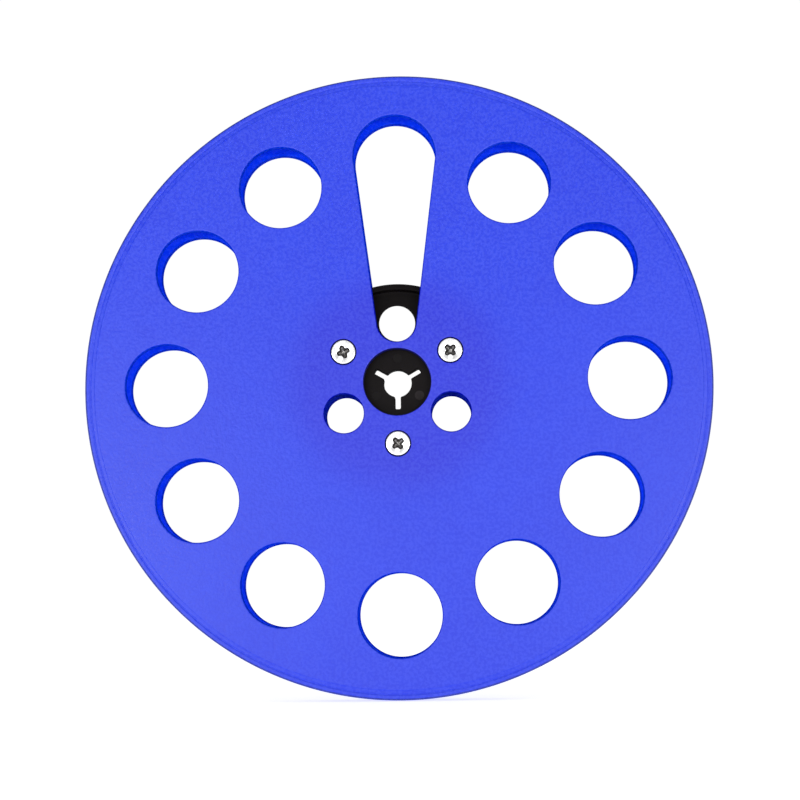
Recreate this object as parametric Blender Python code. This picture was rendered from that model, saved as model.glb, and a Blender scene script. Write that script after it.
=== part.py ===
"""Seven-inch open tape reel: two moulded flanges screwed to a black hub.

The reel stands upright with its spin axis along Y.  The front flange faces -Y,
the long threading slot points up (+Z), and the origin is the centre of the reel.
Every piece is drawn about a local Z axis (+z towards the front face, +y towards
the threading slot) and hung on the empty "reel_axis", which turns that axis to -Y.
Lengths are in metres.
"""

import math

import bmesh
import bpy
from mathutils import Matrix, Vector

MM = 0.001

# ---------------------------------------------------------------- driving sizes
REEL_R = 88.9 * MM              # outer radius of both flanges (7 inch reel)
REEL_HALF = 6.0 * MM            # half of the overall thickness
FLANGE_T_HUB = 2.4 * MM         # flange thickness over the hub
FLANGE_T_RIM = 1.9 * MM         # flange thickness near the rim (the inner face tapers)
RIM_STEP_R = 86.1 * MM          # where the outer face steps down to the rim band
RIM_STEP = 0.12 * MM            # height of that step
RIM_ROUND = 0.5 * MM            # bevel of the rim on the outer side
OPENING_R = 9.5 * MM            # centre opening of a flange

HOLE_R = 11.75 * MM             # the eleven round windows
HOLE_CIRCLE_R = 65.5 * MM       # circle their centres lie on
HOLE_ANGLES = [30 * k for k in range(1, 12)]
SLOT_END_R = 5.6 * MM           # inner end radius of the tear-drop threading slot
SLOT_END_Y = 17.1 * MM          # and the distance of that end's centre from the axis

BOLT_CIRCLE_R = 17.5 * MM       # circle of the screws and of the small round holes
SCREW_ANGLES = (60, 180, 300)
SMALL_ANGLES = (120, 240)
SMALL_FLANGE_R = 5.6 * MM       # small holes in the flanges
SMALL_HUB_R = 5.17 * MM         # the hub web's hole in the slot
SIDE_HUB_R = 6.15 * MM          # the hub web's holes behind the small flange holes

HUB_R = 28.4 * MM               # the tape winds on this radius
HUB_RING_IN_R = 26.8 * MM       # inside of the hub's outer ring
WEB_HALF = 0.7 * MM             # half thickness of the hub's thin web
CORE_R = 10.7 * MM              # thicker disc round the bore
CORE_HALF = 2.2 * MM
BORE_R = 3.97 * MM              # 5/16 inch spindle bore
BORE_CHAMFER = 0.35 * MM
KEY_W = 1.6 * MM                # the three spindle key slots
KEY_REACH = 7.4 * MM
BOSS_R = 3.7 * MM               # screw bosses in the hub
PILOT_R = 1.75 * MM

GAP = 0.3 * MM                  # clearance between touching pieces
SINK_TOP_R = 3.9 * MM           # countersink at the flange's outer face
SINK_BORE_R = 1.9 * MM
HEAD_R = 3.4 * MM
HEAD_TOP = 5.94 * MM            # screw heads lie just under the outer face
HEAD_LAND = 0.16 * MM
SHANK_R = 1.45 * MM
SCREW_TIP = 0.55 * MM
RECESS_TIP_R = 1.85 * MM        # cross recess: tip radius and arm width at the top
RECESS_W = 0.95 * MM
RECESS_DEPTH = 1.5 * MM

RIM_SEGMENTS = 96
HOLE_SEGMENTS = 32

# ---------------------------------------------------------------- clean start
for old in list(bpy.data.objects):
    bpy.data.objects.remove(old, do_unlink=True)


def make_material(name, color, rough, metal=0.0):
    mat = bpy.data.materials.new(name)
    mat.use_nodes = True
    bsdf = mat.node_tree.nodes["Principled BSDF"]
    bsdf.inputs["Base Color"].default_value = (*color, 1.0)
    bsdf.inputs["Roughness"].default_value = rough
    bsdf.inputs["Metallic"].default_value = metal
    mat.diffuse_color = (*color, 1.0)
    return mat


FLANGE_MAT = {
    "front_flange": make_material("blue_plastic_front", (0.052, 0.088, 0.89), 0.5),
    "rear_flange": make_material("blue_plastic_rear", (0.052, 0.088, 0.89), 0.5),
}
HUB_MAT = make_material("black_plastic", (0.012, 0.011, 0.010), 0.42)
SCREW_MAT = make_material("nickel_steel", (0.80, 0.79, 0.77), 0.22, 1.0)

axis = bpy.data.objects.new("reel_axis", None)
axis.empty_display_size = 0.03
axis.rotation_euler = (math.radians(90), 0, 0)
bpy.context.scene.collection.objects.link(axis)


# ---------------------------------------------------------------- helpers
def polar(radius, angle_deg):
    """Point on a circle, clockwise from the threading slot as seen from the front."""
    a = math.radians(angle_deg)
    return Vector((radius * math.sin(a), radius * math.cos(a), 0.0))


def new_object(name, bm, material=None):
    bmesh.ops.recalc_face_normals(bm, faces=bm.faces)
    mesh = bpy.data.meshes.new(name)
    bm.to_mesh(mesh)
    bm.free()
    obj = bpy.data.objects.new(name, mesh)
    bpy.context.scene.collection.objects.link(obj)
    if material:
        mesh.materials.append(material)
    return obj


def revolve(bm, profile, segments, centre=(0, 0), phase=0.0):
    """Closed ring from a closed (r, z) loop, turned about local Z."""
    rings = []
    for k in range(segments):
        a = 2 * math.pi * k / segments + phase
        ca, sa = math.cos(a), math.sin(a)
        rings.append(
            [bm.verts.new((centre[0] + r * ca, centre[1] + r * sa, z)) for r, z in profile]
        )
    n = len(profile)
    for k in range(segments):
        a, b = rings[k], rings[(k + 1) % segments]
        for i in range(n):
            j = (i + 1) % n
            bm.faces.new((a[i], b[i], b[j], a[j]))


def lathe(bm, profile, segments, centre=(0, 0), phase=0.0):
    """Closed solid from an open (r, z) line whose first and last points lie on the axis."""
    top = bm.verts.new((centre[0], centre[1], profile[0][1]))
    end = bm.verts.new((centre[0], centre[1], profile[-1][1]))
    rings = []
    for k in range(segments):
        a = 2 * math.pi * k / segments + phase
        ca, sa = math.cos(a), math.sin(a)
        rings.append(
            [
                bm.verts.new((centre[0] + r * ca, centre[1] + r * sa, z))
                for r, z in profile[1:-1]
            ]
        )
    for k in range(segments):
        a, b = rings[k], rings[(k + 1) % segments]
        bm.faces.new((top, a[0], b[0]))
        bm.faces.new((end, b[-1], a[-1]))
        for i in range(len(a) - 1):
            bm.faces.new((a[i], a[i + 1], b[i + 1], b[i]))


def prism(bm, outline, z0, z1):
    """Upright prism over a plain outline."""
    low = [bm.verts.new((x, y, z0)) for x, y in outline]
    high = [bm.verts.new((x, y, z1)) for x, y in outline]
    n = len(outline)
    bm.faces.new(list(reversed(low)))
    bm.faces.new(high)
    for i in range(n):
        j = (i + 1) % n
        bm.faces.new((low[i], low[j], high[j], high[i]))


def cutter(name, bm):
    obj = new_object(name, bm)
    obj.hide_render = True
    obj.display_type = "WIRE"
    obj.parent = axis
    return obj


def boolean(obj, other, operation="DIFFERENCE"):
    mod = obj.modifiers.new(f"{operation.lower()}_{other.name}", "BOOLEAN")
    mod.operation = operation
    mod.object = other
    mod.solver = "EXACT"


def smooth(mesh, angle=32):
    mesh.shade_smooth()
    mesh.set_sharp_from_angle(angle=math.radians(angle))


def apply_modifiers(obj, join_flat=False):
    """Replace the mesh with its evaluated result, so copies can share it."""
    bpy.context.view_layer.update()
    deps = bpy.context.evaluated_depsgraph_get()
    mesh = bpy.data.meshes.new_from_object(obj.evaluated_get(deps))
    obj.modifiers.clear()
    obj.data = mesh
    bm = bmesh.new()
    bm.from_mesh(mesh)
    bmesh.ops.remove_doubles(bm, verts=bm.verts, dist=1e-7)
    bmesh.ops.dissolve_degenerate(bm, edges=bm.edges, dist=1e-7)
    if join_flat:
        # join the coplanar pieces of each flat face
        bmesh.ops.dissolve_limit(bm, angle_limit=math.radians(0.015), verts=bm.verts, edges=bm.edges)
    bm.to_mesh(mesh)
    bm.free()
    smooth(mesh)


# ---------------------------------------------------------------- flanges
def slot_outline(steps_outer=26, steps_inner=14):
    """Tear-drop slot: the convex outline round a large outer and a small inner circle."""
    y_out, y_in = HOLE_CIRCLE_R, SLOT_END_Y
    lean = math.asin((HOLE_R - SLOT_END_R) / (y_out - y_in))
    points = []
    for i in range(steps_outer + 1):
        a = -lean + (math.pi + 2 * lean) * i / steps_outer
        points.append((HOLE_R * math.cos(a), y_out + HOLE_R * math.sin(a)))
    for i in range(steps_inner + 1):
        a = math.pi + lean + (math.pi - 2 * lean) * i / steps_inner
        points.append((SLOT_END_R * math.cos(a), y_in + SLOT_END_R * math.sin(a)))
    return points


def build_flange():
    z_out = REEL_HALF
    z_hub = REEL_HALF - FLANGE_T_HUB
    z_rim = REEL_HALF - FLANGE_T_RIM
    z_band = z_out - RIM_STEP
    profile = [
        (OPENING_R, z_hub),
        (OPENING_R, z_out - 0.3 * MM),
        (OPENING_R + 0.3 * MM, z_out),
        (RIM_STEP_R, z_out),
        (RIM_STEP_R + RIM_STEP, z_band),
        (REEL_R - RIM_ROUND, z_band),
        (REEL_R, z_band - RIM_ROUND),
        (REEL_R, z_rim + 0.45 * MM),
        (REEL_R - 0.45 * MM, z_rim),
        (HUB_R + 0.4 * MM, z_hub),
    ]
    bm = bmesh.new()
    revolve(bm, profile, RIM_SEGMENTS)
    flange = new_object("front_flange", bm, FLANGE_MAT["front_flange"])
    flange.parent = axis

    low, high = z_hub - 1 * MM, z_out + 1 * MM
    bm = bmesh.new()
    for angle in HOLE_ANGLES:
        c = polar(HOLE_CIRCLE_R, angle)
        lathe(bm, [(0, high), (HOLE_R, high), (HOLE_R, low), (0, low)], HOLE_SEGMENTS, c[:2])
    for angle in SMALL_ANGLES:
        c = polar(BOLT_CIRCLE_R, angle)
        lathe(bm, [(0, high), (SMALL_FLANGE_R, high), (SMALL_FLANGE_R, low), (0, low)], 24, c[:2])
    for angle in SCREW_ANGLES:
        c = polar(BOLT_CIRCLE_R, angle)
        rise = high - z_out
        sink = [
            (0, high),
            (SINK_TOP_R + rise, high),
            (SINK_BORE_R, z_out - (SINK_TOP_R - SINK_BORE_R)),
            (SINK_BORE_R, low),
            (0, low),
        ]
        lathe(bm, sink, 24, c[:2])
    prism(bm, slot_outline(), low, high)
    holes = cutter("flange_cutter", bm)
    boolean(flange, holes)
    apply_modifiers(flange, join_flat=True)
    return flange


front_flange = build_flange()

# The rear flange is the same moulding turned over about the slot's line.
rear_mesh = front_flange.data.copy()
rear_mesh.materials.clear()
rear_mesh.materials.append(FLANGE_MAT["rear_flange"])
rear_flange = bpy.data.objects.new("rear_flange", rear_mesh)
bpy.context.scene.collection.objects.link(rear_flange)
rear_flange.parent = axis
rear_flange.rotation_euler = (0, math.pi, 0)


# ---------------------------------------------------------------- hub
def build_hub():
    ring_half = REEL_HALF - FLANGE_T_HUB - GAP
    profile = [
        (BORE_R, -CORE_HALF + BORE_CHAMFER),
        (BORE_R, CORE_HALF - BORE_CHAMFER),
        (BORE_R + BORE_CHAMFER, CORE_HALF),
        (CORE_R, CORE_HALF),
        (CORE_R, WEB_HALF),
        (HUB_RING_IN_R, WEB_HALF),
        (HUB_RING_IN_R, ring_half),
        (HUB_R, ring_half),
        (HUB_R, -ring_half),
        (HUB_RING_IN_R, -ring_half),
        (HUB_RING_IN_R, -WEB_HALF),
        (CORE_R, -WEB_HALF),
        (CORE_R, -CORE_HALF),
        (BORE_R + BORE_CHAMFER, -CORE_HALF),
    ]
    bm = bmesh.new()
    revolve(bm, profile, 64)
    hub = new_object("hub", bm, HUB_MAT)
    hub.parent = axis

    bm = bmesh.new()
    for angle in SCREW_ANGLES:
        c = polar(BOLT_CIRCLE_R, angle)
        lathe(bm, [(0, ring_half), (BOSS_R, ring_half), (BOSS_R, -ring_half), (0, -ring_half)], 24, c[:2])
    boolean(hub, cutter("hub_bosses", bm), "UNION")

    bm = bmesh.new()
    reach = ring_half + 1 * MM
    for angle in SCREW_ANGLES:
        c = polar(BOLT_CIRCLE_R, angle)
        lathe(bm, [(0, reach), (PILOT_R, reach), (PILOT_R, -reach), (0, -reach)], 16, c[:2])
    for angle in SMALL_ANGLES + (0,):
        c = polar(BOLT_CIRCLE_R, angle)
        r = SIDE_HUB_R if angle else SMALL_HUB_R
        lathe(bm, [(0, reach), (r, reach), (r, -reach), (0, -reach)], 28, c[:2], math.pi / 28)
    boolean(hub, cutter("hub_holes", bm))

    bm = bmesh.new()
    for angle in SCREW_ANGLES:
        turn = Matrix.Rotation(-math.radians(angle), 4, "Z")
        corner = 0.35 * MM
        w = KEY_W / 2
        outline = [
            (-w, 2 * MM), (w, 2 * MM), (w, KEY_REACH - corner), (w - corner, KEY_REACH),
            (-w + corner, KEY_REACH), (-w, KEY_REACH - corner),
        ]
        prism(bm, [(turn @ Vector((x, y, 0)))[:2] for x, y in outline], -reach, reach)
    boolean(hub, cutter("hub_keys", bm))
    apply_modifiers(hub)
    return hub


hub = build_hub()


# ---------------------------------------------------------------- screws
def build_screw_mesh():
    """Countersunk cross-head screw about its own axis, z measured as in the reel."""
    cone_start = HEAD_TOP - HEAD_LAND
    cone_end = cone_start - (HEAD_R - SHANK_R)
    profile = [
        (0, HEAD_TOP),
        (HEAD_R, HEAD_TOP),
        (HEAD_R, cone_start),
        (SHANK_R, cone_end),
        (SHANK_R, SCREW_TIP + 0.7 * MM),
        (0, SCREW_TIP),
    ]
    bm = bmesh.new()
    lathe(bm, profile, 24)
    screw = new_object("screw_blank", bm, SCREW_MAT)

    bm = bmesh.new()
    z_top = HEAD_TOP + 0.4 * MM
    z_low = HEAD_TOP - RECESS_DEPTH
    outline_top, outline_low = [], []
    w = RECESS_W / 2
    shrink = 0.42
    for k in range(4):
        a = math.radians(90 * k)
        for x, y in ((w, w), (RECESS_TIP_R, w * 0.8), (RECESS_TIP_R, -w * 0.8)):
            outline_top.append((x * math.cos(a) + y * math.sin(a), x * math.sin(a) - y * math.cos(a)))
            s = shrink if x > w else 0.75
            outline_low.append((s * outline_top[-1][0], s * outline_top[-1][1]))
    top = [bm.verts.new((x, y, z_top)) for x, y in outline_top]
    low = [bm.verts.new((x, y, z_low)) for x, y in outline_low]
    n = len(top)
    bm.faces.new(top)
    bm.faces.new(list(reversed(low)))
    for i in range(n):
        j = (i + 1) % n
        bm.faces.new((top[i], top[j], low[j], low[i]))
    bmesh.ops.triangulate(bm, faces=bm.faces)
    recess = new_object("recess_cutter", bm)
    recess.hide_render = True
    recess.display_type = "WIRE"
    boolean(screw, recess)
    apply_modifiers(screw)
    mesh = screw.data
    bpy.data.objects.remove(screw, do_unlink=True)
    bpy.data.objects.remove(recess, do_unlink=True)
    return mesh


screw_mesh = build_screw_mesh()
# how far each screw happened to be turned when it was driven home
SCREW_TURNS = {"front": (44.0, 38.0, 21.0), "rear": (12.0, 71.0, 33.0)}
for side in ("front", "rear"):
    for k, angle in enumerate(SCREW_ANGLES):
        obj = bpy.data.objects.new(f"{side}_screw_{k + 1}", screw_mesh)
        bpy.context.scene.collection.objects.link(obj)
        obj.parent = axis
        place = polar(BOLT_CIRCLE_R, angle)
        turn = math.radians(SCREW_TURNS[side][k])
        if side == "front":
            obj.location = place
            obj.rotation_euler = (0, 0, turn)
        else:
            obj.location = (-place.x, place.y, 0)
            obj.rotation_mode = "QUATERNION"
            obj.rotation_quaternion = (
                Matrix.Rotation(math.pi, 4, "Y") @ Matrix.Rotation(turn, 4, "Z")
            ).to_quaternion()

for helper in [o for o in bpy.data.objects if o.type == "MESH" and o.hide_render]:
    bpy.data.objects.remove(helper, do_unlink=True)
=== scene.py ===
"""Looks of a seven-inch open tape reel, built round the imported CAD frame.

Shapes are drawn in millimetres in the reel's own frame (x right, y up along the
threading slot, z towards the front face, zero at the reel's centre) and turned
into the row frame at the end: (x, y, z) -> (x, -z, y).
"""

import math

import bmesh
import bpy
from mathutils import Matrix, Vector
from mathutils.geometry import delaunay_2d_cdt


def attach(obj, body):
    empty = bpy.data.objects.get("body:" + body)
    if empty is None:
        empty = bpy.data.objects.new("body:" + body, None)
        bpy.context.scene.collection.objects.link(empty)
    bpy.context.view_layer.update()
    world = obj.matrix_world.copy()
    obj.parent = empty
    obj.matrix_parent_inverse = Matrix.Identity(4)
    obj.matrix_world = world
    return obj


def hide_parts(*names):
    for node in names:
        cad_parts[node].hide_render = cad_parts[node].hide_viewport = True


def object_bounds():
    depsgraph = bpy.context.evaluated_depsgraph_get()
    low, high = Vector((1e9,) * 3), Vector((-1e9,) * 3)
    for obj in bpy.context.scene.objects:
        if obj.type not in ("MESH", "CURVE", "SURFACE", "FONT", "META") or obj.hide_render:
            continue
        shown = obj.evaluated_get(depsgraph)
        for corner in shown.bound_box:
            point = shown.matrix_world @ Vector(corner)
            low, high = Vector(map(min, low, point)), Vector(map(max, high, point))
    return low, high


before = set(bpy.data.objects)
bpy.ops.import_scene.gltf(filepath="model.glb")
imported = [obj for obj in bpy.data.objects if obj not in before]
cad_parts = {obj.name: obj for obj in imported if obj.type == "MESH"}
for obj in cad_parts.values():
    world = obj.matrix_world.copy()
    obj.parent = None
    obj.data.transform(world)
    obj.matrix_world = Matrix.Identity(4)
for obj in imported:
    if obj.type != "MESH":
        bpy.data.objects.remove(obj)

CAD_BOX = [list(map(float, corner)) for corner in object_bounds()]

# ---------------------------------------------------------------- sizes, in mm, as in the CAD
REEL_R = 88.9
Z_OUT = 6.0
Z_HUB = 3.6
Z_RIM = 4.1
OPENING_R = 9.5
HOLE_R = 11.75
HOLE_CIRCLE_R = 65.5
HOLE_ANGLES = [30 * k for k in range(1, 12)]
SLOT_END_R = 5.6
SLOT_END_Y = 17.1
BOLT_R = 17.5
SCREW_ANGLES = (60, 180, 300)
SMALL_ANGLES = (120, 240)
SMALL_FLANGE_R = 5.6
SMALL_HUB_R = 5.17
SIDE_HUB_R = 6.15
HUB_R = 28.4
HUB_RING_IN_R = 26.8
HUB_FACE = 3.58
WEB = 0.7
CORE_R = 10.7
CORE = 2.2
BORE_R = 3.97
KEY_W = 1.6
KEY_REACH = 7.4
MARK_R = 1.4
MARK_CIRCLE_R = 7.1
HEAD_R = 3.4
HEAD_TOP = 5.94
SCREW_TURNS = {"front": (44.0, 38.0, 21.0), "rear": (12.0, 71.0, 33.0)}


def polar(radius, angle_deg):
    a = math.radians(angle_deg)
    return radius * math.sin(a), radius * math.cos(a)


# ---------------------------------------------------------------- mesh building
def circle(cx, cy, r, n, phase=0.0):
    return [
        (cx + r * math.cos(2 * math.pi * k / n + phase), cy + r * math.sin(2 * math.pi * k / n + phase))
        for k in range(n)
    ]


def slot_loop(offset, outer=72, inner=40, side=26):
    """Tear-drop outline grown by offset, with points along its straight sides too."""
    ro, ri = HOLE_R + offset, SLOT_END_R + offset
    lean = math.asin((HOLE_R - SLOT_END_R) / (HOLE_CIRCLE_R - SLOT_END_Y))
    pts = []
    for i in range(outer + 1):
        a = -lean + (math.pi + 2 * lean) * i / outer
        pts.append((ro * math.cos(a), HOLE_CIRCLE_R + ro * math.sin(a)))
    start_inner = []
    for i in range(inner + 1):
        a = math.pi + lean + (math.pi - 2 * lean) * i / inner
        start_inner.append((ri * math.cos(a), SLOT_END_Y + ri * math.sin(a)))
    ax, ay = pts[-1]
    bx, by = start_inner[0]
    for i in range(1, side):
        t = i / side
        pts.append((ax + (bx - ax) * t, ay + (by - ay) * t))
    pts += start_inner
    ax, ay = pts[-1]
    bx, by = pts[0]
    for i in range(1, side):
        t = i / side
        pts.append((ax + (bx - ax) * t, ay + (by - ay) * t))
    return pts


class Shape:
    """Vertices and faces of one closed body, joined from loops, strips and filled flats."""

    def __init__(self):
        self.v, self.f, self.m = [], [], []
        self.slot = 0

    def face(self, ids):
        self.f.append(tuple(ids))
        self.m.append(self.slot)

    def loop(self, pts, z):
        start = len(self.v)
        for x, y in pts:
            self.v.append((x, y, z(x, y) if callable(z) else z))
        return list(range(start, start + len(pts)))

    def strip(self, a, b):
        n = len(a)
        for i in range(n):
            j = (i + 1) % n
            self.face((a[i], a[j], b[j], b[i]))

    def bridge(self, loops):
        for a, b in zip(loops, loops[1:]):
            self.strip(a, b)

    def cap(self, a, centre):
        c = len(self.v)
        self.v.append(centre)
        for i in range(len(a)):
            self.face((a[i], a[(i + 1) % len(a)], c))

    def fill(self, outer, holes, z, grid=3.2, inside=None):
        """Flat or gently shaped face between an outer loop and holes, through a grid of extra points."""
        loops = [outer] + list(holes)
        pts2, ids, edges = [], [], []
        for lp in loops:
            base = len(pts2)
            for i in lp:
                pts2.append(Vector(self.v[i][:2]))
                ids.append(i)
            m = len(lp)
            edges += [(base + i, base + (i + 1) % m) for i in range(m)]
        polys = [[self.v[i][:2] for i in lp] for lp in loops]

        def in_poly(x, y, poly):
            hit = False
            j = len(poly) - 1
            for i in range(len(poly)):
                xi, yi = poly[i]
                xj, yj = poly[j]
                if (yi > y) != (yj > y) and x < (xj - xi) * (y - yi) / (yj - yi) + xi:
                    hit = not hit
                j = i
            return hit

        boxes = [
            (min(p[0] for p in q), max(p[0] for p in q), min(p[1] for p in q), max(p[1] for p in q))
            for q in polys
        ]

        def free(x, y):
            if not in_poly(x, y, polys[0]):
                return False
            for q, (x0, x1, y0, y1) in zip(polys[1:], boxes[1:]):
                if x0 <= x <= x1 and y0 <= y <= y1 and in_poly(x, y, q):
                    return False
            return True

        if grid:
            x0, x1, y0, y1 = boxes[0]
            cells = {}
            size = grid
            for p in pts2:
                cells.setdefault((int(p.x // size), int(p.y // size)), []).append(p)
            row = 0
            y = y0
            while y < y1:
                x = x0 + (0.5 * grid if row % 2 else 0.0)
                while x < x1:
                    cx, cy = int(x // size), int(y // size)
                    near = min(
                        (
                            (p.x - x) ** 2 + (p.y - y) ** 2
                            for i in (-1, 0, 1)
                            for j in (-1, 0, 1)
                            for p in cells.get((cx + i, cy + j), ())
                        ),
                        default=1e9,
                    )
                    if near > (0.45 * grid) ** 2 and free(x, y):
                        pts2.append(Vector((x, y)))
                        ids.append(-1)
                    x += grid
                y += grid * 0.866
                row += 1
        verts, _, faces, origin, _, _ = delaunay_2d_cdt(pts2, edges, [], 0, 1e-7, True)
        index = []
        for p, o in zip(verts, origin):
            known = [ids[k] for k in o if k < len(ids) and ids[k] >= 0]
            if known:
                index.append(known[0])
            else:
                self.v.append((p.x, p.y, z(p.x, p.y) if callable(z) else z))
                index.append(len(self.v) - 1)
        for tri in faces:
            mx = sum(verts[k].x for k in tri) / len(tri)
            my = sum(verts[k].y for k in tri) / len(tri)
            if free(mx, my):
                self.face(index[k] for k in tri)

    def mesh(self, name, place=None):
        bm = bmesh.new()
        vs = [bm.verts.new(p) for p in self.v]
        for f, slot in zip(self.f, self.m):
            if len(set(f)) == len(f):
                bm.faces.new([vs[i] for i in f]).material_index = slot
        bmesh.ops.remove_doubles(bm, verts=bm.verts, dist=1e-4)
        bmesh.ops.recalc_face_normals(bm, faces=bm.faces)
        if place is not None:
            bm.transform(place)
        mesh = bpy.data.meshes.new(name)
        bm.to_mesh(mesh)
        bm.free()
        return mesh


# (x, y, z) in mm of the reel -> row frame in metres
TO_ROW = Matrix(((0.001, 0, 0, 0), (0, 0, -0.001, 0), (0, 0.001, 0, 0), (0, 0, 0, 1)))
TURN_OVER = Matrix.Rotation(math.pi, 4, "Y")


def finish_mesh(mesh, sharp=38):
    mesh.shade_smooth()
    mesh.set_sharp_from_angle(angle=math.radians(sharp))


def piece(name, mesh, nodes, slot, *materials):
    obj = bpy.data.objects.new(name, mesh)
    bpy.context.scene.collection.objects.link(obj)
    for m in materials:
        mesh.materials.append(m)
    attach(obj, "root")
    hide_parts(*nodes)
    return obj


# ---------------------------------------------------------------- flange
def z_inner(x, y):
    r = math.hypot(x, y)
    if r < HUB_R + 0.4:
        return Z_HUB
    return Z_HUB + (Z_RIM - Z_HUB) * (r - HUB_R - 0.4) / (REEL_R - 0.45 - HUB_R - 0.4)


def round_steps(f, n):
    """(offset, drop) pairs along a quarter-round edge of radius f."""
    return [
        (f * (1 - math.sin(math.pi / 2 * k / n)), f * (1 - math.cos(math.pi / 2 * k / n)))
        for k in range(n + 1)
    ]


def flange_shape():
    s = Shape()
    n_rim = 384
    # rim, from the flat outer face over the edge to the inner face: (radius, height)
    rim = [(85.7, Z_OUT), (85.95, Z_OUT), (86.05, Z_OUT - 0.02), (86.15, Z_OUT - 0.10), (86.25, Z_OUT - 0.12)]
    rim += [(86.92, Z_OUT - 0.12), (87.05, Z_OUT - 0.14), (87.17, Z_OUT - 0.22), (87.28, Z_OUT - 0.25)]
    rim += [(87.39, Z_OUT - 0.22), (87.52, Z_OUT - 0.12), (87.64, Z_OUT - 0.10), (88.10, Z_OUT - 0.10)]
    e = 0.62
    for k in range(1, 8):
        a = math.pi / 2 * k / 7
        rim.append((REEL_R - e - 0.05 + (e + 0.05) * math.sin(a), Z_OUT - 0.10 - e * (1 - math.cos(a))))
    rim.append((REEL_R, Z_RIM + 0.5))
    for k in range(1, 6):
        a = math.pi / 2 * k / 5
        rim.append((REEL_R - 0.42 * (1 - math.cos(a)), Z_RIM + 0.42 * (1 - math.sin(a)) + 0.0))
    rim.append((88.2, z_inner(88.2, 0)))
    loops = [s.loop(circle(0, 0, r, n_rim), z) for r, z in rim]
    s.bridge(loops[:14])
    # slot 4 is a darker copy of the blue: painted shade on the rounded rim edge, which turns away from the lamps
    s.slot = 4
    s.bridge(loops[13:20])
    s.slot = 0
    s.bridge(loops[19:])
    top_outer, low_outer = loops[0], loops[-1]

    top_holes, low_holes = [], []

    def wall(outline, f_top, f_low, guard=0.22, n_top=7, n_low=4, slot=2):
        """Hole wall with rounded edges; outline(offset) gives its loops."""
        rows = [s.loop(outline(f_top + guard), Z_OUT)]
        for o, d in round_steps(f_top, n_top):
            rows.append(s.loop(outline(o), Z_OUT - d))
        turn = 3
        s.bridge(rows[: turn + 1])
        for o, d in reversed(round_steps(f_low, n_low)):
            rows.append(s.loop(outline(o), lambda x, y, d=d: z_inner(x, y) + d))
        # the hole walls take a darker copy of the blue (slot 2, or slot 1 for the centre opening): painted shade inside
        # the holes
        s.slot = slot
        s.bridge(rows[turn:])
        # the strip onto the inner face takes the brighter inside blue: painted light on a face that sits in shade
        # between the flanges
        s.slot = 3
        rows.append(s.loop(outline(f_low + guard), z_inner))
        s.bridge(rows[-2:])
        s.slot = 0
        top_holes.append(rows[0])
        low_holes.append(rows[-1])

    for angle in HOLE_ANGLES:
        cx, cy = polar(HOLE_CIRCLE_R, angle)
        wall(lambda o, cx=cx, cy=cy: circle(cx, cy, HOLE_R + o, 128), 0.46, 0.3)
    wall(slot_loop, 0.46, 0.3)
    for angle in SMALL_ANGLES:
        cx, cy = polar(BOLT_R, angle)
        wall(lambda o, cx=cx, cy=cy: circle(cx, cy, SMALL_FLANGE_R + o, 84), 0.42, 0.2)
    # the centre opening's wall takes the darkest blue: painted shade for the dark ring round the core
    wall(lambda o: circle(0, 0, OPENING_R + o, 128), 0.32, 0.2, slot=1)
    for angle in SCREW_ANGLES:
        cx, cy = polar(BOLT_R, angle)
        rows = [s.loop(circle(cx, cy, 4.05, 72), Z_OUT), s.loop(circle(cx, cy, 3.86, 72), Z_OUT)]
        for o, d in round_steps(0.12, 3)[1:]:
            rows.append(s.loop(circle(cx, cy, 3.74 + o, 72), Z_OUT - d))
        s.bridge(rows)
        top_holes.append(rows[0])
        # the countersink's wall and seat take the darkest blue: painted shade round the screw head
        s.slot = 1
        deep = [rows[-1]]
        for r, z in ((3.74, 5.50), (1.90, 3.94)):
            deep.append(s.loop(circle(cx, cy, r, 72), z))
        for o, d in reversed(round_steps(0.12, 3)):
            deep.append(s.loop(circle(cx, cy, 1.90 + o, 72), Z_HUB + d))
        s.bridge(deep)
        s.slot = 0
        rows = [deep[-1], s.loop(circle(cx, cy, 2.25, 72), Z_HUB)]
        s.bridge(rows)
        top_holes.append(rows[0])
        low_holes.append(rows[-1])
    s.fill(top_outer, top_holes, Z_OUT)
    # inner face: the brighter inside blue, painted light on the face that sits in shade between the flanges
    s.slot = 3
    s.fill(low_outer, low_holes, z_inner)
    return s


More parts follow.
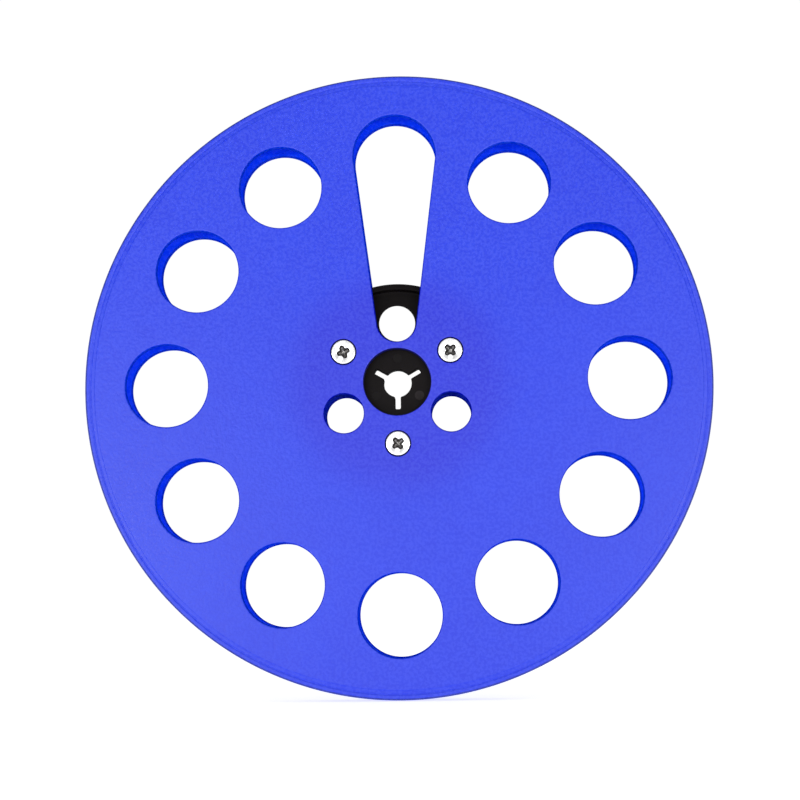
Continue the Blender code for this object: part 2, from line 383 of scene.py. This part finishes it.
# ---------------------------------------------------------------- hub
def keyed_loop(o):
    """Bore with its three key slots, grown by o; the slot mouths have small rounds."""
    r = BORE_R + o
    w = KEY_W / 2 + o
    reach = KEY_REACH + o
    mouth = 0.42                      # rounding where a slot meets the bore
    # centre of the mouth round: at distance r + mouth from the axis, w + mouth from the slot's middle
    my = math.sqrt((r + mouth) ** 2 - (w + mouth) ** 2)
    corner = max(0.45 + o, 0.05)
    pts = []
    for angle in SCREW_ANGLES:
        local = []
        # left mouth round, going clockwise seen from the front: from the bore to the slot's left side
        cx = -(w + mouth)
        a0 = math.atan2(-my, -cx)       # towards the axis
        a1 = 0.0                        # towards the slot's side
        for k in range(7):
            a = a0 + (a1 - a0) * k / 6
            local.append((cx + mouth * math.cos(a), my + mouth * math.sin(a)))
        for k in range(1, 4):
            local.append((-w, my + (reach - corner - my) * k / 4))
        for k in range(7):
            a = math.pi - math.pi / 2 * k / 6
            local.append((-w + corner + corner * math.cos(a), reach - corner + corner * math.sin(a)))
        for k in range(7):
            a = math.pi / 2 - math.pi / 2 * k / 6
            local.append((w - corner + corner * math.cos(a), reach - corner + corner * math.sin(a)))
        for k in range(3, 0, -1):
            local.append((w, my + (reach - corner - my) * k / 4))
        for k in range(6, -1, -1):
            a = a0 + (a1 - a0) * k / 6
            local.append((-(cx + mouth * math.cos(a)), my + mouth * math.sin(a)))
        t = math.radians(angle)
        ct, st = math.cos(t), math.sin(t)
        pts += [(x * ct + y * st, -x * st + y * ct) for x, y in local]
        # bore arc on to the next slot
        lx, ly = local[-1]
        half = math.atan2(lx, ly)
        a_from, a_to = t + half, t + 2 * math.pi / 3 - half
        for k in range(1, 20):
            a = a_from + (a_to - a_from) * k / 20
            pts.append((r * math.sin(a), r * math.cos(a)))
    return pts


def hub_shape():
    s = Shape()
    n = 256
    sides = []
    for side in (1, -1):
        z = lambda v: side * v
        ring_outer = []
        for o, d in reversed(round_steps(0.22, 4)):
            ring_outer.append(s.loop(circle(0, 0, HUB_R - o, n), z(HUB_FACE - d)))
        ring_in = [s.loop(circle(0, 0, HUB_RING_IN_R + 0.3, n), z(HUB_FACE))]
        for o, d in round_steps(0.18, 4):
            ring_in.append(s.loop(circle(0, 0, HUB_RING_IN_R + o, n), z(HUB_FACE - d)))
        # the ring's inside meets the web with a small moulded fillet
        for k in range(6):
            a = math.pi / 2 * k / 5
            ring_in.append(
                s.loop(circle(0, 0, HUB_RING_IN_R - 0.5 * (1 - math.cos(a)), n), z(WEB + 0.5 * (1 - math.sin(a))))
            )
        web_outer = s.loop(circle(0, 0, HUB_RING_IN_R - 0.8, n), z(WEB))
        s.bridge(ring_outer + ring_in + [web_outer])
        web_holes = []
        # core disc
        core = [s.loop(circle(0, 0, CORE_R + 0.30, 160), z(WEB))]
        for k in range(5):
            a = math.pi / 2 * k / 4
            core.append(s.loop(circle(0, 0, CORE_R + 0.25 * (1 - math.sin(a)), 160), z(WEB + 0.25 * (1 - math.cos(a)))))
        for o, d in reversed(round_steps(0.25, 4)):
            core.append(s.loop(circle(0, 0, CORE_R - o, 160), z(CORE - d)))
        core.append(s.loop(circle(0, 0, CORE_R - 0.5, 160), z(CORE)))
        s.bridge(core)
        web_holes.append(core[0])
        # screw bosses
        for angle in SCREW_ANGLES:
            cx, cy = polar(BOLT_R, angle)
            boss = [s.loop(circle(cx, cy, 3.7 + 0.5, 56), z(WEB))]
            for k in range(4):
                a = math.pi / 2 * k / 3
                boss.append(s.loop(circle(cx, cy, 3.7 + 0.25 * (1 - math.sin(a)), 56), z(WEB + 0.25 * (1 - math.cos(a)))))
            for o, d in reversed(round_steps(0.15, 3)):
                boss.append(s.loop(circle(cx, cy, 3.7 - o, 56), z(HUB_FACE - d)))
            boss.append(s.loop(circle(cx, cy, 1.75, 56), z(HUB_FACE)))
            boss.append(s.loop(circle(cx, cy, 1.55, 56), z(HUB_FACE - 0.2)))
            s.bridge(boss)
            web_holes.append(boss[0])
            sides.append((side, "pilot", angle, boss[-1]))
        # small round holes
        for angle in (0,) + SMALL_ANGLES:
            cx, cy = polar(BOLT_R, angle)
            r, soft = (SIDE_HUB_R, 0.15) if angle else (SMALL_HUB_R, 0.35)
            rows = [s.loop(circle(cx, cy, r + soft + 0.08, 96), z(WEB))]
            for o, d in round_steps(soft, 5):
                rows.append(s.loop(circle(cx, cy, r + o, 96), z(WEB - d)))
            s.bridge(rows)
            web_holes.append(rows[0])
            sides.append((side, "small", angle, rows[-1]))
        s.fill(web_outer, web_holes, z(WEB), grid=2.0)
        # core face, with shallow ejector marks
        key_rows = [s.loop(keyed_loop(0.30), z(CORE))]
        for o, d in round_steps(0.16, 4):
            key_rows.append(s.loop(keyed_loop(o), z(CORE - d)))
        s.bridge(key_rows[:3])
        s.slot = 1
        s.bridge(key_rows[2:])
        s.slot = 0
        sides.append((side, "bore", 0, key_rows[-1]))
        marks = []
        for angle in (0, 120, 240):
            cx, cy = polar(MARK_CIRCLE_R, angle)
            rows = [s.loop(circle(cx, cy, MARK_R + 0.12, 48), z(CORE))]
            for r, d in ((MARK_R, 0.0), (MARK_R - 0.03, 0.05), (MARK_R - 0.08, 0.09), (MARK_R - 0.2, 0.10)):
                rows.append(s.loop(circle(cx, cy, r, 48), z(CORE - d)))
            s.bridge(rows[:3])
            s.slot = 3 if angle == 120 else 2
            s.bridge(rows[2:])
            s.cap(rows[-1], (cx, cy, z(CORE - 0.10)))
            s.slot = 0
            marks.append(rows[0])
        s.fill(core[-1], [key_rows[0]] + marks, z(CORE), grid=1.2)
        sides.append((side, "rim", 0, ring_outer[0]))
    for kind in ("pilot", "small", "bore", "rim"):
        up = {a: lp for sd, k, a, lp in sides if k == kind and sd == 1}
        down = {a: lp for sd, k, a, lp in sides if k == kind and sd == -1}
        s.slot = 0 if kind == "rim" else 1
        for a in up:
            s.strip(up[a], down[a])
    return s


# ---------------------------------------------------------------- screws
def recess_outline(tip, w, n=6):
    """Cross outline: four arms with round tips, joined by hollow corners."""
    pts = []
    root = w * 1.65                      # where an arm's straight side ends
    for k in range(4):
        base = math.pi / 2 * k
        c, s_ = math.cos(base), math.sin(base)
        local = []
        for j in range(n + 1):
            a = -math.pi / 2 + math.pi * j / n
            local.append((tip - w * 0.60 + w * 0.60 * math.cos(a), w * 0.90 * math.sin(a)))
        local.append((root, w))
        # hollow corner towards the next arm: a quarter round bulging to the axis
        for j in range(1, 5):
            a = math.pi / 2 * j / 5
            local.append((root - (root - w) * math.sin(a), w + (root - w) * (1 - math.cos(a))))
        local.append((w, root))
        pts += [(x * c - y * s_, x * s_ + y * c) for x, y in local]
    return pts


def screw_mesh(name, place):
    """Countersunk cross-head screw with a rolled thread; the recess is sunk into the head."""
    s = Shape()
    n = 96
    top = HEAD_TOP
    # head: flat with a soft edge, then the cone
    rows = []
    for r, z in ((3.14, top), (3.23, top - 0.005), (3.31, top - 0.03), (3.37, top - 0.08), (3.40, top - 0.16)):
        rows.append(s.loop(circle(0, 0, r, n), z))
    s.bridge(rows)
    under = [rows[-1]]
    for r, z in ((3.4, 5.70), (3.34, 5.62), (1.45, 3.73), (1.28, 3.45)):
        under.append(s.loop(circle(0, 0, r, n), z))
    # thread: crest and root wind down the shank
    pitch, root, crest = 1.05, 1.12, 1.46
    z_start, z_end = 3.3, 0.95
    steps = 44
    for i in range(steps + 1):
        z = z_start + (z_end - z_start) * i / steps
        fade = min(1.0, i / 5.0)
        ring = []
        for k in range(n):
            a = 2 * math.pi * k / n
            phase = ((z / pitch) + k / n) % 1.0
            tooth = max(0.0, 1.0 - abs(phase - 0.5) / 0.30)
            r = root + (crest - root) * tooth * fade
            if i < 5:
                r = max(r, 1.28 - 0.16 * i / 5.0)
            ring.append((r * math.cos(a), r * math.sin(a)))
        under.append(s.loop(ring, z))
    under.append(s.loop(circle(0, 0, 0.85, n), 0.66))
    under.append(s.loop(circle(0, 0, 0.35, n), 0.57))
    s.bridge(under)
    s.cap(under[-1], (0, 0, 0.55))
    # recess: a rolled lip, steep walls, then a sloping floor with a pit in the middle
    lip = [s.loop(recess_outline(1.97, 0.74), top), s.loop(recess_outline(1.94, 0.725), top - 0.012)]
    lip.append(s.loop(recess_outline(1.92, 0.71), top - 0.04))
    s.bridge(lip)
    # recess walls: near-black steel, painted shade
    s.slot = 1
    walls = [lip[-1]]
    for d, tip, w in ((0.20, 1.82, 0.63), (0.50, 1.64, 0.51), (0.80, 1.47, 0.42)):
        walls.append(s.loop(recess_outline(tip, w), top - d))
    s.bridge(walls)
    # recess floor: mid-grey steel, a lighter painted shade
    s.slot = 2
    floor = [walls[-1]]
    for d, tip, w in ((0.84, 1.40, 0.39), (1.15, 0.95, 0.31), (1.40, 0.60, 0.22)):
        floor.append(s.loop(recess_outline(tip, w), top - d))
    s.bridge(floor)
    s.cap(floor[-1], (0, 0, top - 1.50))
    s.slot = 0
    s.fill(rows[0], [lip[0]], top, grid=0.0)
    return s.mesh(name, place)


# ---------------------------------------------------------------- materials
def nodes_of(name):
    mat = bpy.data.materials.new(name)
    mat.use_nodes = True
    nt = mat.node_tree
    return mat, nt, nt.nodes["Principled BSDF"]


def add(nt, kind, **values):
    node = nt.nodes.new(kind)
    for key, value in values.items():
        if key.startswith("in_"):
            node.inputs[key[3:].replace("_", " ")].default_value = value
        else:
            setattr(node, key, value)
    return node


def mix_color(nt, fac, a, b, blend="MIX"):
    m = nt.nodes.new("ShaderNodeMix")
    m.data_type = "RGBA"
    m.blend_type = blend
    for sock, val in (("Factor", fac), ("A", a), ("B", b)):
        targets = [i for i in m.inputs if i.name == sock and (i.type == "RGBA" or sock == "Factor")]
        target = targets[0] if sock != "Factor" else [i for i in m.inputs if i.name == "Factor" and i.type == "VALUE"][0]
        if isinstance(val, (int, float)):
            target.default_value = val
        elif isinstance(val, tuple):
            target.default_value = val
        else:
            nt.links.new(val, target)
    return [o for o in m.outputs if o.type == "RGBA"][0]


def math_node(nt, op, a, b=None, c=None, clamp=False):
    m = nt.nodes.new("ShaderNodeMath")
    m.operation = op
    m.use_clamp = clamp
    for i, v in enumerate((a, b, c)):
        if v is None:
            continue
        if isinstance(v, (int, float)):
            m.inputs[i].default_value = v
        else:
            nt.links.new(v, m.inputs[i])
    return m.outputs[0]


def ramp(nt, fac, stops):
    r = nt.nodes.new("ShaderNodeMapRange")
    r.interpolation_type = "SMOOTHSTEP"
    nt.links.new(fac, r.inputs["Value"])
    r.inputs["From Min"].default_value, r.inputs["From Max"].default_value = stops[0]
    r.inputs["To Min"].default_value, r.inputs["To Max"].default_value = stops[1]
    return r.outputs[0]


def blue_plastic(name, field, centre, rough, shine, relief):
    """Blue moulded plastic; field and centre are its colours away from and over the hub; the darker centre is painted
    shade, where the black hub behind the flange takes away light shining through the plastic.
    """
    mat, nt, bsdf = nodes_of(name)
    coord = add(nt, "ShaderNodeTexCoord")
    sep = add(nt, "ShaderNodeSeparateXYZ")
    nt.links.new(coord.outputs["Object"], sep.inputs[0])
    x, z = sep.outputs["X"], sep.outputs["Z"]
    radius = math_node(nt, "SQRT", math_node(nt, "ADD", math_node(nt, "MULTIPLY", x, x), math_node(nt, "MULTIPLY", z, z)))
    # painted shade: the colour turns to the darker centre colour over the hub
    hub_shade_mask = ramp(nt, radius, ((0.023, 0.037), (1.0, 0.0)))
    # mould grain: fine and coarse grain, and a broad unevenness of the melt
    grain = add(nt, "ShaderNodeTexNoise", in_Scale=1150.0, in_Detail=1.0, in_Roughness=0.5)
    blotch = add(nt, "ShaderNodeTexNoise", in_Scale=420.0, in_Detail=4.0, in_Roughness=0.62)
    broad = add(nt, "ShaderNodeTexNoise", in_Scale=28.0, in_Detail=3.0, in_Roughness=0.5)
    for tex in (grain, blotch, broad):
        nt.links.new(coord.outputs["Object"], tex.inputs["Vector"])
    base = mix_color(nt, hub_shade_mask, (*field, 1), (*centre, 1))
    speck = ramp(nt, grain.outputs["Fac"], ((0.40, 0.60), (0.0, 1.0)))
    mott = mix_color(nt, ramp(nt, blotch.outputs["Fac"], ((0.33, 0.67), (0.0, 1.0))), (0.70, 0.93, 0.985, 1), (1.30, 1.07, 1.015, 1))
    tone = mix_color(nt, ramp(nt, broad.outputs["Fac"], ((0.35, 0.65), (0.0, 1.0))), (0.95, 0.96, 0.985, 1), (1.04, 1.04, 1.01, 1))
    c1 = mix_color(nt, 1.0, base, mott, "MULTIPLY")
    c2 = mix_color(nt, 1.0, c1, tone, "MULTIPLY")
    # the grain adds pale and dark specks: c2 + pale speck - dark speck
    c3 = mix_color(nt, 1.0, c2, mix_color(nt, speck, (0, 0, 0, 1), (0.0140, 0.0170, 0.028, 1)), "ADD")
    c4 = mix_color(nt, 1.0, c3, (0.0054, 0.0078, 0.014, 1), "SUBTRACT")
    nt.links.new(c4, bsdf.inputs["Base Color"])
    nt.links.new(ramp(nt, grain.outputs["Fac"], ((0.3, 0.7), (rough - 0.05, rough + 0.05))), bsdf.inputs["Roughness"])
    bsdf.inputs["Specular IOR Level"].default_value = shine
    bump = add(nt, "ShaderNodeBump", in_Strength=relief, in_Distance=0.00005)
    height = math_node(nt, "ADD", grain.outputs["Fac"], math_node(nt, "MULTIPLY", blotch.outputs["Fac"], 0.8))
    nt.links.new(height, bump.inputs["Height"])
    nt.links.new(bump.outputs["Normal"], bsdf.inputs["Normal"])
    return mat


def black_plastic(name, low, high, rough, shine, worn_by=0.0):
    mat, nt, bsdf = nodes_of(name)
    coord = add(nt, "ShaderNodeTexCoord")
    grain = add(nt, "ShaderNodeTexNoise", in_Scale=1800.0, in_Detail=2.0, in_Roughness=0.5)
    broad = add(nt, "ShaderNodeTexNoise", in_Scale=140.0, in_Detail=4.0, in_Roughness=0.6)
    for tex in (grain, broad):
        nt.links.new(coord.outputs["Object"], tex.inputs["Vector"])
    col = mix_color(nt, ramp(nt, broad.outputs["Fac"], ((0.35, 0.65), (0.0, 1.0))), (*low, 1), (*high, 1))
    # handling has greyed the middle round the bore
    sep = add(nt, "ShaderNodeSeparateXYZ")
    nt.links.new(coord.outputs["Object"], sep.inputs[0])
    x, z = sep.outputs["X"], sep.outputs["Z"]
    radius = math_node(nt, "SQRT", math_node(nt, "ADD", math_node(nt, "MULTIPLY", x, x), math_node(nt, "MULTIPLY", z, z)))
    middle = ramp(nt, radius, ((0.0104, 0.0112), (1.0, 0.0)))
    worn = mix_color(nt, middle, (0, 0, 0, 1), (worn_by * 1.12, worn_by, worn_by * 1.03, 1))
    nt.links.new(mix_color(nt, 1.0, col, worn, "ADD"), bsdf.inputs["Base Color"])
    nt.links.new(ramp(nt, broad.outputs["Fac"], ((0.3, 0.7), (rough - 0.06, rough + 0.06))), bsdf.inputs["Roughness"])
    bsdf.inputs["Specular IOR Level"].default_value = shine
    bump = add(nt, "ShaderNodeBump", in_Strength=0.25, in_Distance=0.00003)
    nt.links.new(grain.outputs["Fac"], bump.inputs["Height"])
    nt.links.new(bump.outputs["Normal"], bsdf.inputs["Normal"])
    return mat


def nickel(name):
    mat, nt, bsdf = nodes_of(name)
    coord = add(nt, "ShaderNodeTexCoord")
    fine = add(nt, "ShaderNodeTexNoise", in_Scale=900.0, in_Detail=4.0, in_Roughness=0.65)
    nt.links.new(coord.outputs["Object"], fine.inputs["Vector"])
    col = mix_color(nt, ramp(nt, fine.outputs["Fac"], ((0.35, 0.65), (0.0, 1.0))), (0.93, 0.93, 0.94, 1), (0.99, 0.99, 0.995, 1))
    nt.links.new(col, bsdf.inputs["Base Color"])
    bsdf.inputs["Metallic"].default_value = 1.0
    nt.links.new(ramp(nt, fine.outputs["Fac"], ((0.3, 0.7), (0.22, 0.34))), bsdf.inputs["Roughness"])
    bump = add(nt, "ShaderNodeBump", in_Strength=0.12, in_Distance=0.00002)
    nt.links.new(fine.outputs["Fac"], bump.inputs["Height"])
    nt.links.new(bump.outputs["Normal"], bsdf.inputs["Normal"])
    return mat


def gap_shade_blue(name):
    """The same blue plastic painted darker: painted shade in the countersinks and on the centre opening's wall."""
    mat, nt, bsdf = nodes_of(name)
    coord = add(nt, "ShaderNodeTexCoord")
    noise = add(nt, "ShaderNodeTexNoise", in_Scale=900.0, in_Detail=2.0)
    nt.links.new(coord.outputs["Object"], noise.inputs["Vector"])
    col = mix_color(nt, noise.outputs["Fac"], (0.004, 0.005, 0.10, 1), (0.007, 0.008, 0.14, 1))
    nt.links.new(col, bsdf.inputs["Base Color"])
    bsdf.inputs["Roughness"].default_value = 0.6
    bsdf.inputs["Specular IOR Level"].default_value = 0.15
    return mat


def recess_shade_steel(name, low, high, metallic, rough):
    """Screw recess: steel painted darker than the plated head, as painted shade in the hollow of the cross."""
    mat, nt, bsdf = nodes_of(name)
    coord = add(nt, "ShaderNodeTexCoord")
    noise = add(nt, "ShaderNodeTexNoise", in_Scale=2600.0, in_Detail=3.0)
    nt.links.new(coord.outputs["Object"], noise.inputs["Vector"])
    fac = ramp(nt, noise.outputs["Fac"], ((0.35, 0.65), (0.0, 1.0)))
    nt.links.new(mix_color(nt, fac, (*low, 1), (*high, 1)), bsdf.inputs["Base Color"])
    bsdf.inputs["Metallic"].default_value = metallic
    bsdf.inputs["Roughness"].default_value = rough
    return mat


# each blue is given a darker centre colour over the hub: painted shade
BLUE = blue_plastic("blue_satin_plastic", (0.0040, 0.0350, 0.690), (0.0044, 0.0195, 0.618), 0.42, 0.55, 0.9)
# darker copy of the blue for the rounded rim edge: painted shade
BLUE_RIM_SHADE = blue_plastic("blue_plastic_rim_edge_painted_shade", (0.0100, 0.0290, 0.340), (0.0100, 0.0290, 0.340), 0.50, 0.50, 0.6)
# darker copy of the blue for the hole walls: painted shade
BLUE_WALL_SHADE = blue_plastic("blue_plastic_walls_painted_shade", (0.0008, 0.0310, 0.560), (0.0008, 0.0110, 0.400), 0.75, 0.0, 0.2)
# brighter copy of the blue for the inner faces between the flanges: painted light
BLUE_INSIDE_LIT = blue_plastic("blue_plastic_inside_painted_light", (0.0005, 0.0560, 0.950), (0.0005, 0.0250, 0.700), 0.70, 0.06, 0.3)
# darkest blue for the countersinks and the centre opening's wall: painted shade
GAP_BLUE_SHADE = gap_shade_blue("blue_plastic_in_countersink")
# near-black walls and mid-grey floor of the screw recesses: painted shade
RECESS_WALL_SHADE = recess_shade_steel("recess_wall_painted_shade", (0.020, 0.016, 0.014), (0.050, 0.044, 0.040), 0.4, 0.5)
RECESS_FLOOR_SHADE = recess_shade_steel("recess_floor_painted_shade", (0.12, 0.115, 0.11), (0.42, 0.41, 0.40), 0.9, 0.35)
BLACK = black_plastic("black_moulded_plastic", (0.0034, 0.0025, 0.0027), (0.0058, 0.0044, 0.0046), 0.42, 0.055, 0.0040)
BLACK_WALL = black_plastic("black_plastic_walls", (0.0030, 0.0026, 0.0026), (0.0045, 0.0040, 0.0040), 0.80, 0.02)
MARK = black_plastic("black_ejector_mark", (0.0108, 0.0094, 0.0096), (0.0132, 0.0114, 0.0116), 0.50, 0.055)
MARK_PALE = black_plastic("black_ejector_mark_worn", (0.0190, 0.0165, 0.0170), (0.0290, 0.0245, 0.0260), 0.50, 0.06)
NICKEL = nickel("nickel_plated_steel")

# ---------------------------------------------------------------- the pieces
shape = flange_shape()
front = shape.mesh("front_flange_fine", TO_ROW)
finish_mesh(front)
piece("front_flange_fine", front, ["front_flange"], "flange_blue", BLUE, GAP_BLUE_SHADE, BLUE_WALL_SHADE, BLUE_INSIDE_LIT, BLUE_RIM_SHADE)
rear = shape.mesh("rear_flange_fine", TO_ROW @ TURN_OVER)
finish_mesh(rear)
piece("rear_flange_fine", rear, ["rear_flange"], "flange_blue", BLUE, GAP_BLUE_SHADE, BLUE_WALL_SHADE, BLUE_INSIDE_LIT, BLUE_RIM_SHADE)

hub = hub_shape().mesh("hub_fine", TO_ROW)
finish_mesh(hub)
piece("hub_fine", hub, ["hub"], "hub_black", BLACK, BLACK_WALL, MARK, MARK_PALE)

for side in ("front", "rear"):
    for k, angle in enumerate(SCREW_ANGLES):
        x, y = polar(BOLT_R, angle)
        turn = Matrix.Rotation(math.radians(SCREW_TURNS[side][k]), 4, "Z")
        local = Matrix.Translation((x, y, 0)) @ turn
        if side == "rear":
            local = TURN_OVER @ local
        name = f"{side}_screw_{k + 1}_fine"
        mesh = screw_mesh(name, TO_ROW @ local)
        finish_mesh(mesh, 30)
        piece(name, mesh, [f"{side}_screw_{k + 1}"], "screw_nickel", NICKEL, RECESS_WALL_SHADE, RECESS_FLOOR_SHADE)


# ---------------------------------------------------------------- floor, light, camera
def stage_material(name, color, glow):
    mat, nt, bsdf = nodes_of(name)
    bsdf.inputs["Base Color"].default_value = (*color, 1)
    bsdf.inputs["Roughness"].default_value = 0.9
    bsdf.inputs["Specular IOR Level"].default_value = 0.0
    bsdf.inputs["Emission Color"].default_value = (1, 1, 1, 1)
    bsdf.inputs["Emission Strength"].default_value = glow
    return mat


bm = bmesh.new()
bmesh.ops.create_circle(bm, cap_ends=True, segments=96, radius=14.0)
floor_mesh = bpy.data.meshes.new("floor")
bm.to_mesh(floor_mesh)
bm.free()
floor = bpy.data.objects.new("floor", floor_mesh)
floor.location = (0, 0, CAD_BOX[0][2] - 0.0002)
floor_mesh.materials.append(stage_material("pale_floor", (0.82, 0.82, 0.82), 0.70))
bpy.context.scene.collection.objects.link(floor)

world = bpy.data.worlds.new("studio")
bpy.context.scene.world = world
world.use_nodes = True
wt = world.node_tree
bg = wt.nodes["Background"]
wc = wt.nodes.new("ShaderNodeTexCoord")
ws = wt.nodes.new("ShaderNodeSeparateXYZ")
wt.links.new(wc.outputs["Generated"], ws.inputs[0])
behind = ramp(wt, ws.outputs["Y"], ((0.78, 0.90), (0.0, 1.0)))
low = ramp(wt, math_node(wt, "ABSOLUTE", ws.outputs["Z"]), ((0.02, 0.34), (1.0, 0.0)))
most = math_node(wt, "MAXIMUM", behind, low)
level = math_node(wt, "ADD", math_node(wt, "MULTIPLY", most, 0.56), 0.46)
wt.links.new(level, bg.inputs["Strength"])
bg.inputs["Color"].default_value = (1, 1, 1, 1)


def softbox(name, location, target, size, watts, size_y=None):
    data = bpy.data.lights.new(name, "AREA")
    data.shape = "RECTANGLE"
    data.size = size
    data.size_y = size_y or size
    data.energy = watts
    obj = bpy.data.objects.new(name, data)
    obj.location = location
    obj.rotation_euler = (Vector(target) - Vector(location)).to_track_quat("-Z", "Y").to_euler()
    bpy.context.scene.collection.objects.link(obj)
    return obj


softbox("softbox_left", (-0.40, -1.00, -0.03), (0, 0, -0.02), 0.36, 1.9, 0.10)
softbox("softbox_right", (0.42, -1.05, -0.03), (0, 0, -0.02), 0.36, 1.8, 0.10)
softbox("softbox_top", (0.0, -0.9, 0.9), (0, 0, 0), 0.7, 1.2)

# camera: pinhole solved from the rim and the windows of both flanges
cam_data = bpy.data.cameras.new("camera")
cam_data.sensor_width = 36.0
cam_data.lens = 75.5448
cam_data.clip_start = 0.01
cam_data.clip_end = 100
cam = bpy.data.objects.new("camera", cam_data)
bpy.context.scene.collection.objects.link(cam)
# columns: image right, image down, forward, in the reel's frame (x right, y up, z to the viewer)
M = Matrix(((0.999178, -0.018102, -0.036271), (-0.013830, -0.993298, 0.114747), (-0.038105, -0.114151, -0.992732)))
C = Vector((17.912, -59.581, 475.968))
turn = Matrix(((1, 0, 0), (0, 0, -1), (0, 1, 0)))
right = turn @ M.col[0]
up = -(turn @ M.col[1])
back = -(turn @ M.col[2])
pose = Matrix((right, up, back)).transposed().to_4x4()
pose.translation = (turn @ C) * 0.001
cam.matrix_world = pose
bpy.context.scene.camera = cam

bpy.context.scene.view_settings.view_transform = "Standard"
bpy.context.scene.view_settings.look = "None"
bpy.context.scene.view_settings.exposure = 0.0
bpy.context.scene.view_settings.gamma = 1.0
